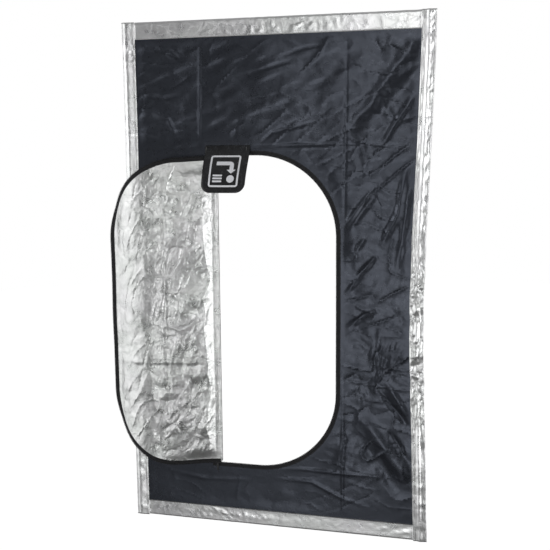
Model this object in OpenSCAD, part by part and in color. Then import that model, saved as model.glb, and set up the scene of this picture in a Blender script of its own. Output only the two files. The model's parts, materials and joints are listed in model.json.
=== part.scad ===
// Partition wall for a 1.2 m equipment enclosure tent: a black sheet lined with
// silver film, straight rails in its top and bottom hems, hook-and-loop wings
// down both sides, and a D-shaped zip door that hinges on a fold of the cloth.
// The door is drawn folded back, which is its position at rest.
//
// Frame: +Z up, +X to the right seen from the front, the front faces -Y.
// Origin: the middle of the top rail's axis.

/* [Panel] */
// Overall width, across both side wings
panel_w = 1200; // [1100:10:1400]
// Overall height
panel_h = 2000; // [1850:10:2200]
// Visible width of each silver side border
border_w = 52; // [46:1:60]
// Visible height of the silver top and bottom hems
hem_h = 66; // [50:1:80]
// Thickness of the black outer sheet
sheet_t = 0.8; // [0.6:0.1:1.2]
// Thickness of the silver lining
lining_t = 0.6; // [0.4:0.1:0.8]
// Thickness of the silver film in the hems and wings
film_t = 0.8; // [0.6:0.1:1.0]

/* [Rails] */
// Outer diameter of the two rails
rail_d = 16; // [12:1:19]
// Wall thickness of the rails
rail_wall = 0.9; // [0.7:0.1:1.2]

/* [Door] */
// Distance of the hinge fold from the panel's centre line, to the left
hinge_left = 225; // [200:1:260]
// Width of the door, from the hinge fold to the free edge's coil line
door_w = 466; // [440:1:480]
// Height of the door between its coil lines
door_h = 1233; // [1000:1:1300]
// Height of the door's lower coil line above the bottom of the panel
door_sill = 257; // [220:1:300]
// Radius of the two corners on the free side
door_r = 310; // [200:5:330]
// How far the door is folded back at its hinge
door_open = 168; // [160:1:170]
// How far its free edge bends back at the crease
door_bend = 39; // [20:1:40]
// Distance of the crease from the hinge fold
crease_at = 330; // [300:1:350]
// Distance of the first sag line from the hinge fold
near_line = 105; // [90:1:120]
// Distance of the second sag line
far_line = 225; // [200:1:240]
// How far the open door hangs low past the first sag line
near_sag = 6.5; // [0:0.5:8]
// How much lower it hangs past the second
far_sag = 8; // [0:0.5:10]

/* [Zip] */
// Width of the tape and binding beyond the coil line
tape_w = 18; // [15:1:22]
// Distance of the cloth's edge from the coil line
cloth_gap = 8; // [7.5:0.5:10]
// How far the track runs on past the hinge fold, as parking for the sliders
track_over = 36; // [34:1:40]
// Length of a pull tab, from its stud to its tip
pull_len = 36; // [28:1:44]

/* [Zip garage] */
// Width of the rubber flap over the top end of the zip
garage_w = 178; // [150:1:190]
// Length of the rubber flap
garage_len = 200; // [190:1:220]
// How far it stands off the panel, resting on the open door
garage_tilt = 30; // [29:1:36]

/* [Hidden] */
$fn = 96;

black = "#2a2b30";
silver = "#c6c7c5";
zip_black = "#17181a";
steel = "#b9bcc0";
print_grey = "#b4b6b8";

// Panel: depth d is measured from the black sheet's front face towards the back
rail_gap = 0.4;
rail_r = rail_d / 2;
front_y = -(rail_r + rail_gap);
cloth_t = sheet_t + lining_t;
top_z = rail_r + rail_gap + film_t;
bottom_z = top_z - panel_h;
bottom_rail_z = bottom_z + top_z;
black_x = panel_w / 2 - border_w;  // where the silver borders start
seam_in_hem = 15;                  // how far the cloth reaches up inside a hem
hem_gap = 0.5;
rail_len = 2 * (black_x - 1);

// Wings
seam_strip_w = 7;
fold_gap = 0.5;
wing_fold_x = black_x + seam_strip_w + fold_gap;
cloth_x = black_x + seam_strip_w;
hook_w = 16;
loop_w = 18;
hook_t = 1.6;
hook_stop = 40;                    // the tape ends short of the rails' open ends

// Door: the D is drawn around its coil line
hinge_x = -hinge_left;
free_x = hinge_x + door_w;
sill_z = bottom_z + door_sill;
head_z = sill_z + door_h;
fold_r = 4;                        // inner radius of the hinge fold
axis_y = front_y - fold_r;
crease_x = hinge_x + crease_at;
crease_y = front_y + cloth_t / 2;
strip_gap = 2;
// The door's four strips: where each starts and ends, and how far it sags when open
strip_lines = [0, near_line, far_line, crease_at, door_w];
strip_sag = [0, near_sag, near_sag + far_sag, near_sag + far_sag];

// Zip
tape_t = 0.7;
binding_t = 0.6;
coil_in = 0.6;
coil_out = 3.6;
coil_t = 2.6;
tape_in = 0.9;
binding_in = 4.2;
slider_len = 16;
slider_w = 12;
slider_x = hinge_x - 18;
plate_t = 1.3;
front_plate_d = -2.3;
back_plate_d = coil_t + 0.3;
stud_r = 1.2;
stud_play = 0.08;
head_r = 2.4;
pull_w = 9;
pull_t = 1.4;

// Zip garage
garage_x = -179;
garage_t = 2.4;
garage_z = head_z + 40;
garage_y = front_y - garage_t / 2;
garage_r = 36;
frame_w = 120;
frame_h = 134;
frame_bar = 7;
frame_r = 10;
frame_up = 24;                     // from the flap's lower edge to the frame
relief_t = 0.8;

// A plate drawn as seen from the front (x right, z up), between depths d0 and d1
module plate(d0, d1) {
  translate([0, front_y + d1, 0]) rotate([90, 0, 0]) linear_extrude(d1 - d0) children();
}

module block(x0, x1, z0, z1) {
  translate([x0, z0]) square([x1 - x0, z1 - z0]);
}

// Everything inside the coil line moved out by o, from the far end of the track
module d_shape(o) {
  corner_x = free_x - door_r;
  block(hinge_x - track_over, corner_x, sill_z - o, head_z + o);
  block(hinge_x - track_over, free_x + o, sill_z + door_r, head_z - door_r);
  for (z = [sill_z + door_r, head_z - door_r]) translate([corner_x, z]) circle(door_r + o);
}

// A band that follows the coil line, between two offsets, right of x0
module d_band(o0, o1, x0, x1 = free_x + 50) {
  intersection() {
    difference() {
      d_shape(o1);
      translate([-0.01, 0]) d_shape(o0);
    }
    block(x0, x1, sill_z - 50, head_z + 50);
  }
}

// The short stretch of track past the fold, at the head and at the sill
module track_stub(o0, o1) {
  block(hinge_x - track_over, hinge_x - 2, head_z - o1, head_z - o0);
  block(hinge_x - track_over, hinge_x - 2, sill_z + o0, sill_z + o1);
}

// Sewn end that joins both sides of the track
module track_end(o) {
  for (z = [head_z, sill_z])
    block(hinge_x - track_over - 4, hinge_x - track_over + 0.01, z - o, z + o);
}

module cloth_cut() {
  difference() {
    block(-cloth_x, cloth_x, bottom_z + hem_h - seam_in_hem, top_z - hem_h + seam_in_hem);
    intersection() {
      d_shape(cloth_gap);
      block(hinge_x, free_x + 50, bottom_z, top_z);
    }
    for (z = [head_z, sill_z])
      block(hinge_x - track_over, hinge_x + 1, z - cloth_gap, z + cloth_gap);
  }
}

module outer_sheet() color(black) plate(0, sheet_t) cloth_cut();
module lining_sheet() color(silver) plate(sheet_t, cloth_t) cloth_cut();

// Section of a hem: a teardrop round the rail, closed on the cloth at its foot.
// Drawn with the depth axis across and z up, foot downwards.
module teardrop(r, foot_back) {
  foot_z = top_z - hem_h;
  reach = sqrt(foot_back * foot_back + foot_z * foot_z);
  tangent = atan2(foot_z, foot_back) + acos(r / reach);
  circle(r);
  polygon([[-r, 0], [-r, foot_z], [foot_back, foot_z], [r * cos(tangent), r * sin(tangent)], [0, 0]]);
}

module hem() {
  back = front_y + cloth_t;
  rotate([90, 0, 90]) linear_extrude(2 * (black_x - hem_gap), center = true)
    difference() {
      teardrop(rail_r + rail_gap + film_t, back + film_t);
      teardrop(rail_r + rail_gap, back);
    }
}

module rail() {
  color(steel) rotate([0, 90, 0]) difference() {
    cylinder(r = rail_r, h = rail_len, center = true);
    cylinder(r = rail_r - rail_wall, h = rail_len + 2, center = true);
  }
}

module top_hem() color(silver) hem();
module bottom_hem() color(silver) translate([0, 0, bottom_rail_z]) mirror([0, 0, 1]) hem();
module top_rail() rail();
module bottom_rail() translate([0, 0, bottom_rail_z]) rail();

// Side border: a fixed seam strip, then the wing that folds back round an upright
module seam_strip() {
  color(silver) plate(-film_t, 0)
    block(black_x, black_x + seam_strip_w, bottom_z, top_z);
}

module wing() {
  outer = panel_w / 2;
  color(silver) {
    plate(-film_t, 0) block(wing_fold_x + fold_gap, outer, bottom_z, top_z);
    plate(0, film_t) block(outer - hook_w, outer, bottom_z, top_z);
  }
}

module hook_tape() {
  outer = panel_w / 2;
  color(zip_black) plate(film_t, film_t + hook_t)
    block(outer - hook_w, outer - 1, bottom_z + hook_stop, top_z - hook_stop);
}

module loop_tape() {
  color(zip_black) plate(cloth_t, cloth_t + hook_t)
    block(black_x - 2 - loop_w, black_x - 2, bottom_z + hem_h + 6, top_z - hem_h - 6);
}

// Fixed side of the zip
module opening_zip_tape() {
  color(zip_black) plate(-tape_t, 0) {
    d_band(tape_in, tape_w, hinge_x - track_over);
    track_stub(tape_in, tape_w);
    track_end(tape_w);
  }
}

module opening_binding() {
  color(zip_black) plate(cloth_t, cloth_t + binding_t) {
    d_band(binding_in, tape_w, hinge_x - track_over);
    track_stub(binding_in, tape_w);
    track_end(tape_w);
  }
}

module opening_coil() {
  color(zip_black) plate(0, coil_t) {
    d_band(coil_in, coil_out, hinge_x - track_over + 5);
    translate([5, 0]) intersection() {
      track_stub(coil_in, coil_out);
      block(hinge_x - track_over, hinge_x - 7, sill_z, head_z);
    }
  }
}

module zip_end_stops() {
  color(steel) for (z = [head_z, sill_z])
    plate(0, coil_t) block(hinge_x - track_over + 0.5, hinge_x - track_over + 3.5, z - 4, z + 4);
}

// The cloth that turns from the panel to the folded door
module hinge_fold() {
  color(silver) translate([hinge_x, axis_y, sill_z + cloth_gap + 0.5])
    rotate([0, 0, 90.3 - door_open]) rotate_extrude(angle = door_open - 0.6)
      translate([fold_r, 0]) square([cloth_t, door_h - 2 * cloth_gap - 1]);
}

// Turns what is drawn in the closed position to the position at rest
module swing() {
  translate([hinge_x, axis_y, 0]) rotate([0, 0, -door_open]) translate([-hinge_x, -axis_y, 0])
    children();
}

module bend(angle) {
  translate([crease_x, crease_y, 0]) rotate([0, 0, -angle])
    translate([-crease_x, -crease_y, 0]) children();
}

// Cuts one strip of the door out of a layer, and puts it where it hangs at rest
module on_strip(n, d0, d1) {
  x0 = hinge_x + strip_lines[n - 1] + strip_gap / 2;
  x1 = hinge_x + strip_lines[n] - (n < 4 ? strip_gap / 2 : 0);
  swing() translate([0, 0, -strip_sag[n - 1]]) bend(n == 4 ? door_bend : 0)
    plate(d0, d1) intersection() {
      children();
      block(x0, x1, sill_z, head_z);
    }
}

zip_start = hinge_x + 3;           // the door's half of the zip starts past the fold

module door_cloth(n) color(black) on_strip(n, 0, sheet_t) d_shape(-cloth_gap);
module door_lining(n) color(silver) on_strip(n, sheet_t, cloth_t) d_shape(-cloth_gap);
module door_tape(n)
  color(zip_black) on_strip(n, -tape_t, 0) d_band(-tape_w, -tape_in, zip_start);
module door_binding(n)
  color(zip_black) on_strip(n, cloth_t, cloth_t + binding_t)
    d_band(-tape_w, -binding_in, zip_start);
module door_coil(n)
  color(zip_black) on_strip(n, 0, coil_t) d_band(-coil_out, -coil_in, zip_start);

// Slider: two plates joined by a thin tongue between the coils, with a stud for each pull
module slider_at(z) {
  color("#3a3c40") translate([slider_x, 0, z]) {
    for (d = [front_plate_d, back_plate_d]) plate(d, d + plate_t) slider_plate();
    plate(front_plate_d + 0.1, back_plate_d + 0.1) block(2, 6, -0.3, 0.3);
    stud(front_plate_d, -1);
    stud(back_plate_d + plate_t, 1);
  }
}

module slider_plate() {
  block(-slider_len / 2, slider_len / 2 - slider_w / 2, -slider_w / 2, slider_w / 2);
  translate([slider_len / 2 - slider_w / 2, 0]) circle(slider_w / 2);
}

// A riveted stud that stands out of a plate's face at depth d, towards the front or the back
module stud(d, way) {
  translate([0, front_y + d, 0]) rotate([-90 * way, 0, 0]) {
    translate([0, 0, -0.1]) cylinder(r = stud_r, h = pull_t + 0.9);
    translate([0, 0, pull_t + 0.7]) cylinder(r = head_r, h = 0.8);
  }
}

module pull_at(z, way) {
  face = way < 0 ? front_plate_d - 0.35 - pull_t : back_plate_d + plate_t + 0.35;
  color(zip_black) translate([slider_x, 0, z]) plate(face, face + pull_t) difference() {
    union() {
      circle(pull_w / 2);
      block(-pull_w / 2 + 1, pull_w / 2 - 1, -pull_len + pull_w / 2, 0);
      translate([0, -pull_len + pull_w / 2]) circle(pull_w / 2);
    }
    circle(stud_r + stud_play);
    translate([0, -pull_len + pull_w / 2]) circle(2.2);
  }
}

// Zip garage: a rubber flap that hangs from a sewn strip and rests on the open door
module garage_seam_strip() {
  color(zip_black) plate(-garage_t, 0)
    block(garage_x - garage_w / 2, garage_x + garage_w / 2, garage_z + 0.8, garage_z + 15);
}

module garage_outline() {
  low = -garage_len;
  half = garage_w / 2;
  block(-half, half, low + garage_r, -2.4);
  block(-half + garage_r, half - garage_r, low, -2.4);
  for (x = [-1, 1]) translate([x * (half - garage_r), low + garage_r]) circle(garage_r);
}

// Draws children on the tilted flap, raised from its mid-plane by r0 to r1 towards the front
module on_garage(r0, r1) {
  translate([garage_x, garage_y, garage_z]) rotate([-garage_tilt, 0, 0])
    translate([0, -r0, 0]) rotate([90, 0, 0]) linear_extrude(r1 - r0) children();
}

module rounded_block(w, h, r) {
  block(-w / 2 + r, w / 2 - r, -h / 2, h / 2);
  block(-w / 2, w / 2, -h / 2 + r, h / 2 - r);
  for (x = [-1, 1], z = [-1, 1]) translate([x * (w / 2 - r), z * (h / 2 - r)]) circle(r);
}

module zip_garage() color(zip_black) on_garage(-garage_t / 2, garage_t / 2) garage_outline();

module on_frame() {
  on_garage(garage_t / 2, garage_t / 2 + relief_t)
    translate([0, -garage_len + frame_up + frame_h / 2]) children();
}

module garage_frame() {
  color(print_grey) on_frame() difference() {
    rounded_block(frame_w, frame_h, frame_r);
    rounded_block(frame_w - 2 * frame_bar, frame_h - 2 * frame_bar, frame_r - frame_bar);
  }
}

// A plain sign for "close down to here": an arrow that turns down to a dot, and three bars
module garage_pictogram() {
  color(print_grey) on_frame() {
    block(-34, 20, 24, 40);
    translate([20, 24]) intersection() { circle(16); block(0, 16, 0, 16); }
    block(20, 36, 4, 24);
    polygon([[10, 4], [46, 4], [28, -12]]);
    translate([28, -34]) circle(15);
    for (z = [-20, -32, -44]) block(-44, -6, z - 3.5, z + 3.5);
  }
}

module mirrored() { mirror([1, 0, 0]) children(); }

outer_sheet();
lining_sheet();
top_hem();
bottom_hem();
top_rail();
bottom_rail();
mirrored() seam_strip();  // left_seam_strip
seam_strip();  // right_seam_strip
mirrored() loop_tape();  // left_loop_tape
loop_tape();  // right_loop_tape
mirrored() wing();  // left_wing
wing();  // right_wing
mirrored() hook_tape();  // left_hook_tape
hook_tape();  // right_hook_tape
opening_zip_tape();
opening_binding();
opening_coil();
zip_end_stops();
hinge_fold();
door_cloth(1);  // door_strip_1_cloth
door_lining(1);  // door_strip_1_lining
door_tape(1);  // door_strip_1_tape
door_binding(1);  // door_strip_1_binding
door_coil(1);  // door_strip_1_coil
door_cloth(2);  // door_strip_2_cloth
door_lining(2);  // door_strip_2_lining
door_tape(2);  // door_strip_2_tape
door_binding(2);  // door_strip_2_binding
door_coil(2);  // door_strip_2_coil
door_cloth(3);  // door_strip_3_cloth
door_lining(3);  // door_strip_3_lining
door_tape(3);  // door_strip_3_tape
door_binding(3);  // door_strip_3_binding
door_coil(3);  // door_strip_3_coil
door_cloth(4);  // door_strip_4_cloth
door_lining(4);  // door_strip_4_lining
door_tape(4);  // door_strip_4_tape
door_binding(4);  // door_strip_4_binding
door_coil(4);  // door_strip_4_coil
slider_at(head_z);  // top_slider
pull_at(head_z, -1);  // top_outer_pull
pull_at(head_z, 1);  // top_inner_pull
slider_at(sill_z);  // bottom_slider
pull_at(sill_z, -1);  // bottom_outer_pull
pull_at(sill_z, 1);  // bottom_inner_pull
garage_seam_strip();
zip_garage();
garage_frame();
garage_pictogram();
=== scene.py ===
"""Looks of the tent wall panel: cloth, foil, zip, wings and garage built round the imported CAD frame.

Every sewn layer is drawn flat, as it is cut, and a rule then puts it in place: on_panel, on_door, on_hem,
on_wing_back or on_garage. Layers that share a rule share its wrinkles, so they never cut through each other.
"""

import json
import math

import bpy
import numpy as np
from mathutils import Matrix, Vector
from mathutils.geometry import delaunay_2d_cdt
from mathutils.kdtree import KDTree


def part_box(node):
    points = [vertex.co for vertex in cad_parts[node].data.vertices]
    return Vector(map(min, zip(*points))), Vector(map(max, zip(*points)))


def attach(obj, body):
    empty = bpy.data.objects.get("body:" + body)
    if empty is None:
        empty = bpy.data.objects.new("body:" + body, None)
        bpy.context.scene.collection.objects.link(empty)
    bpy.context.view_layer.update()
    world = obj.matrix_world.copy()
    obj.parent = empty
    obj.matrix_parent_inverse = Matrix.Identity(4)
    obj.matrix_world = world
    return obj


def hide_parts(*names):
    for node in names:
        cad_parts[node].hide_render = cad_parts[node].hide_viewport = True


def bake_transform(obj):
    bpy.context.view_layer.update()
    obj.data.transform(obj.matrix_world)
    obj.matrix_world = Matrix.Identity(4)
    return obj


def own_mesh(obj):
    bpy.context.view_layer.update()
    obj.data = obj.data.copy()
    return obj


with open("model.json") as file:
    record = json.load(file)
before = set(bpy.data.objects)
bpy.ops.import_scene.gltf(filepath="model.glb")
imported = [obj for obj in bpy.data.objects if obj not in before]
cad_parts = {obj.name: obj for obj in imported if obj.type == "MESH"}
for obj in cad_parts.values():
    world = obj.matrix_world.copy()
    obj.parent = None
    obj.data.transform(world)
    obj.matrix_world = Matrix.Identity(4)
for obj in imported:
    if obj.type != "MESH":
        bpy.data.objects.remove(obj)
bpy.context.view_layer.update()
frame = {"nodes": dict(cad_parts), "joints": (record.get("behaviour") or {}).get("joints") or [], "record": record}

# ---------------------------------------------------------------- sizes, from the CAD frame

joints = {j["name"]: j for j in frame["joints"]}
MM = 0.001
HINGE_X, AXIS_Y = joints["door_swing"]["pos_m"][:2]
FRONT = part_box("outer_sheet")[0].y          # front face of the black cloth
SHEET_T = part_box("outer_sheet")[1].y - FRONT
CLOTH_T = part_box("lining_sheet")[1].y - FRONT
CLOTH_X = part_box("outer_sheet")[1].x
CLOTH_LO, CLOTH_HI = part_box("outer_sheet")[0].z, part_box("outer_sheet")[1].z
SEAM_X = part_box("right_seam_strip")[0].x    # where the black cloth meets the silver border
HALF_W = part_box("right_wing")[1].x
BOTTOM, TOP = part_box("right_wing")[0].z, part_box("right_wing")[1].z
HEM_FOOT_HI, HEM_FOOT_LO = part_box("top_hem")[0].z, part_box("bottom_hem")[1].z
BOTTOM_RAIL_Z = sum(p.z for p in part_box("bottom_rail")) / 2
COIL_IN, COIL_OUT, COIL_T = -1.2 * MM, 3.6 * MM, 2.6 * MM      # from the coil line; shut coils reach into each other
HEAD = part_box("opening_coil")[1].z - COIL_OUT
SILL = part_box("opening_coil")[0].z + COIL_OUT
FREE_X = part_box("opening_coil")[1].x - COIL_OUT
DOOR_R = 310 * MM
DOOR_W = FREE_X - HINGE_X
TRACK_X = HINGE_X - 36 * MM                 # the far end of the zip's track
TAPE_IN, TAPE_W, TAPE_T = 0.9 * MM, 18 * MM, 0.7 * MM          # edges from the coil line, and thickness
BINDING_IN, BINDING_T = 4.2 * MM, 0.6 * MM
CLOTH_GAP = 8 * MM                          # from the coil line to the cloth's cut edge
SEAMS = (6.5 * MM, 15.5 * MM)               # the two rows of stitches on a zip tape
FOLD_R = 4 * MM                             # inside radius of the hinge fold
GARAGE_X, _, GARAGE_Z = joints["garage_lift"]["pos_m"]
GARAGE_T = 2.4 * MM
MID_Z = (HEAD + SILL) / 2


# ---------------------------------------------------------------- small maths


def smooth(x, lo, hi):
    t = np.clip((x - lo) / (hi - lo), 0, 1)
    return t * t * (3 - 2 * t)


class Noise:
    """Smooth random hills from -1 to 1, about one for each unit of x and z."""

    SIZE = 64

    def __init__(self, seed):
        self.table = np.random.default_rng(seed).uniform(-1, 1, (self.SIZE, self.SIZE))

    def __call__(self, x, z):
        i, j = np.floor(x).astype(int), np.floor(z).astype(int)
        u, v = x - i, z - j
        u, v = u**3 * (u * (6 * u - 15) + 10), v**3 * (v * (6 * v - 15) + 10)
        i0, i1, j0, j1 = i % self.SIZE, (i + 1) % self.SIZE, j % self.SIZE, (j + 1) % self.SIZE
        t = self.table
        low = t[i0, j0] * (1 - u) + t[i1, j0] * u
        high = t[i0, j1] * (1 - u) + t[i1, j1] * u
        return low * (1 - v) + high * v


hills = [Noise(n) for n in range(12)]


def crumple(x, z, size, seed):
    """Creased film: flat facets between sharp folds about size apart, from about -1 to 1."""
    draw = np.random.default_rng(seed)
    warp = 0.5 * size
    wx = x + warp * hills[seed % 12](x / size * 0.7 + 9, z / size * 0.7)
    wz = z + warp * hills[(seed + 5) % 12](x / size * 0.7, z / size * 0.7 + 31)
    total = 0.0 * x
    for n in range(6):
        turn, rate = draw.uniform(0, math.pi), draw.uniform(0.55, 1.5)
        phase = (wx * math.cos(turn) + wz * math.sin(turn)) * rate / size + draw.uniform(0, 1)
        wave = 4 * np.abs(phase - np.floor(phase + 0.5)) - 1
        gate = np.clip(0.35 + 1.3 * hills[(seed + n) % 12](x / size / 2 + 7 * n, z / size / 2 - 3 * n), 0, 1)
        total = total + wave * gate / rate
    return total / 2.2


def ridges(x, z, turn, length, width, hill, sharp=5.0):
    """Thin sharp folds that run mostly one way, from 0 to 1."""
    c, s = math.cos(turn), math.sin(turn)
    u, v = x * c + z * s, z * c - x * s
    v = v + 0.35 * width * hills[(hill + 3) % 12](u / length * 1.7, v / width * 0.4)
    return (1 - np.abs(hills[hill](u / length, v / width))) ** sharp


def crease(x, z, points, width, height):
    """One fold along a line of points, which fades out at both ends."""
    points = np.array(points, float)
    steps = np.linalg.norm(np.diff(points, axis=0), axis=1)
    far = np.full(np.shape(x), 1e9)
    along = np.zeros(np.shape(x))
    done = 0.0
    for (ax, az), (bx, bz), step in zip(points[:-1], points[1:], steps):
        t = np.clip(((x - ax) * (bx - ax) + (z - az) * (bz - az)) / step**2, 0, 1)
        d = np.hypot(x - ax - t * (bx - ax), z - az - t * (bz - az))
        near = d < far
        far = np.where(near, d, far)
        along = np.where(near, done + t * step, along)
        done += step
    fade = np.sin(math.pi * np.clip(along / done, 0.02, 0.98)) ** 0.6
    return height * np.exp(-((far / width) ** 2)) * fade


def beyond_coil(x, z):
    """How far a point lies outside the zip's coil line; negative inside the D."""
    qx = x - (FREE_X - DOOR_R)
    qz = np.abs(z - MID_Z) - ((HEAD - SILL) / 2 - DOOR_R)
    return np.hypot(np.maximum(qx, 0), np.maximum(qz, 0)) + np.minimum(np.maximum(qx, qz), 0) - DOOR_R


# ---------------------------------------------------------------- the panel's wrinkles

# Folds of the black cloth: points (x, z), width and height in metres
FOLDS = [
    ([(0.545, -0.075), (0.45, -0.2), (0.365, -0.32), (0.26, -0.44)], 0.022, -0.0055),
    ([(0.56, -0.16), (0.5, -0.25), (0.42, -0.34), (0.33, -0.44)], 0.03, 0.0045),
    ([(0.53, -0.29), (0.47, -0.38), (0.42, -0.46)], 0.011, -0.004),
    ([(-0.05, -0.455), (-0.005, -0.415), (0.075, -0.4), (0.17, -0.375)], 0.007, -0.002),
    ([(-0.58, -0.475), (-0.17, -0.468), (0.275, -0.46), (0.54, -0.47)], 0.006, -0.0022),
    ([(-0.5, -0.485), (-0.1, -0.48), (0.2, -0.475)], 0.006, 0.0012),
    ([(-0.285, -0.05), (-0.29, -0.3), (-0.295, -0.52)], 0.006, -0.0012),
    ([(0.28, -0.04), (0.275, -0.5), (0.268, -1.05)], 0.006, -0.0012),
    ([(0.268, -1.3), (0.27, -1.9)], 0.006, 0.002),
    ([(0.385, -0.63), (0.325, -0.7), (0.265, -0.775)], 0.009, -0.0035),
    ([(0.405, -0.64), (0.345, -0.71), (0.29, -0.78)], 0.012, 0.003),
    ([(0.36, -0.81), (0.315, -0.86)], 0.009, -0.003),
    ([(0.405, -0.88), (0.32, -0.96)], 0.01, -0.0035),
    ([(0.325, -0.97), (0.27, -1.03)], 0.008, -0.003),
    ([(0.415, -1.085), (0.355, -1.105), (0.275, -1.16)], 0.01, -0.0035),
    ([(0.51, -0.57), (0.49, -0.72), (0.43, -0.83)], 0.013, -0.0055),
    ([(0.535, -0.6), (0.515, -0.8), (0.49, -0.95)], 0.014, 0.004),
    ([(0.43, -1.4), (0.48, -1.46), (0.54, -1.53)], 0.012, -0.006),
    ([(0.455, -1.37), (0.5, -1.43), (0.54, -1.49)], 0.012, 0.004),
    ([(0.455, -1.55), (0.49, -1.6), (0.54, -1.68)], 0.013, -0.005),
    ([(0.33, -1.49), (0.43, -1.61), (0.54, -1.76)], 0.026, 0.006),
    ([(0.31, -1.56), (0.4, -1.67), (0.5, -1.8)], 0.03, -0.005),
    ([(-0.19, -1.76), (0.1, -1.737), (0.28, -1.742), (0.46, -1.74)], 0.007, 0.0022),
    ([(0.0, -1.785), (0.145, -1.787), (0.27, -1.845), (0.34, -1.86)], 0.008, 0.002),
    ([(-0.47, -0.085), (-0.41, -0.105), (-0.35, -0.145)], 0.012, -0.003),
    ([(-0.52, -0.27), (-0.44, -0.28), (-0.38, -0.275)], 0.009, -0.002),
    ([(-0.49, -0.33), (-0.42, -0.36), (-0.39, -0.42)], 0.01, 0.002),
    ([(0.02, -0.14), (0.12, -0.11), (0.22, -0.095)], 0.009, -0.0018),
    ([(-0.1, -0.2), (0.02, -0.165), (0.1, -0.15)], 0.009, -0.0016),
    ([(-0.45, -1.79), (-0.3, -1.81), (-0.1, -1.8)], 0.009, 0.0018),
]
LOOSE_BOX = (0.45, -1.29, 0.1, 0.09)        # a patch of close crumples: centre, half sizes
REST_CALM = 25 * MM


def relief(x, z):
    """How far the panel's cloth stands out to the front at (x, z)."""
    right = smooth(x, -0.05, 0.42)
    h = 5.0 * MM * hills[0](x / 0.31, z / 0.37) + 1.8 * MM * hills[1](x / 0.14, z / 0.14)
    slant = np.array([0.94, 0.34])          # small wrinkles rise to the right near the top
    u, v = x * slant[0] + z * slant[1], z * slant[0] - x * slant[1]
    upper = smooth(z, -0.56, -0.4)
    h = h + upper * (1 - 0.3 * right) * 1.3 * MM * hills[2](u / 0.085, v / 0.026)
    patchy = np.clip(0.5 + 1.1 * hills[10](x / 0.16, z / 0.13), 0, 1)
    h = h + (0.5 + 0.9 * right) * patchy * 2.4 * MM * ridges(x, z, 0.72, 0.24, 0.06, 3)
    h = h - (0.4 + 0.8 * right) * (1 - patchy) * 2.0 * MM * ridges(x, z, 0.45, 0.2, 0.065, 8)
    h = h + (0.9 + 0.3 * right) * 1.1 * MM * ridges(x, z, -0.2, 0.14, 0.05, 5)
    calm_foot = 1 - 0.5 * smooth(-z, 1.68, 1.78)
    h = h + (0.4 + 0.8 * right) * 1.1 * MM * crumple(x, z, 0.12, 3)
    h = h + (0.5 + 0.75 * right) * 0.5 * MM * crumple(x, z, 0.055, 4)
    h = h * calm_foot
    cx, cz, sx, sz = LOOSE_BOX
    loose = np.exp(-(((x - cx) / sx) ** 2) - ((z - cz) / sz) ** 2)
    h = h + loose * 2.2 * MM * crumple(x, z, 0.045, 5)
    radial = np.exp(-(((x - 0.31) / 0.05) ** 2) - ((z + 1.43) / 0.08) ** 2)
    h = h + radial * 1.6 * MM * hills[3]((x + z) / 0.03, (x - z) / 0.09)
    for points, width, height in FOLDS:
        h = h + 1.1 * crease(x, z, points, width, height)
    # the rails, seams, zip and garage hold the cloth flat
    h = h * smooth(HEM_FOOT_HI - z, -0.002, 0.05) * smooth(z - HEM_FOOT_LO, -0.002, 0.05)
    h = h * (0.45 + 0.55 * smooth(SEAM_X - np.abs(x), 0.0, 0.04))
    h = h * (0.18 + 0.82 * smooth(beyond_coil(x, z), 0.018, 0.08))
    beside = np.where((z < HEAD + 0.03) & (z > SILL - 0.03), np.abs(x - HINGE_X), 1.0)
    h = h * smooth(beside, 0.004, 0.05)
    for end in (HEAD, SILL):
        h = h * smooth(np.hypot(x - HINGE_X + 18 * MM, z - end), REST_CALM, 3 * REST_CALM)
    away = np.hypot(np.maximum(np.abs(x - GARAGE_X) - 0.09, 0), np.maximum(np.abs(z - GARAGE_Z - 0.007) - 0.009, 0))
    return h * smooth(away, 0.002, 0.035)


def bow(x, z):
    """How far the slack right side hangs in towards the middle."""
    up = z - BOTTOM
    sag = 27 * MM * np.exp(-(((up - 0.93) / 0.62) ** 2)) * smooth(up, 0, 0.12) * smooth(2.0 - up, 0, 0.3)
    sag = sag + 1.5 * MM * hills[6](z / 0.045, x * 0) * smooth(up, 0.3, 0.6) * smooth(1.5 - up, 0, 0.4)
    return sag * smooth(x, 0.28, 0.53)


def on_panel(x, z, d):
    """A point of the flat panel at depth d behind the black cloth's face."""
    return np.stack([x - bow(x, z), FRONT + d - relief(x, z), z], axis=-1)


# ---------------------------------------------------------------- the folded door's shape

# Distances from the hinge in metres, and the angle there in degrees between the folded door and the panel
LEAN = (
    [0.0, 0.05, 0.1, 0.15, 0.2, 0.25, 0.3, 0.35, 0.4, 0.43, 0.445, 0.46, 0.48],
    [9.1, 11.0, 17.5, 20.5, 18.0, 8.0, -7.0, -16.0, -30.0, -34.0, -12.0, 3.0, 6.0],
)
FIRST_LEAN = math.radians(LEAN[1][0])
FOLD_TURN = math.pi - FIRST_LEAN            # how far the cloth turns at the hinge
FOLD_LEN = FOLD_TURN * (FOLD_R + CLOTH_T / 2)
CURVE_STEP, CURVE_END = 0.5 * MM, 0.482
SOFTENED = 30                               # steps each way over which the angle is averaged


def run_up(slope, step):
    """The running sum of a slope, from 0."""
    return np.concatenate([[0], np.cumsum(slope[:-1]) * step])


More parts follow.
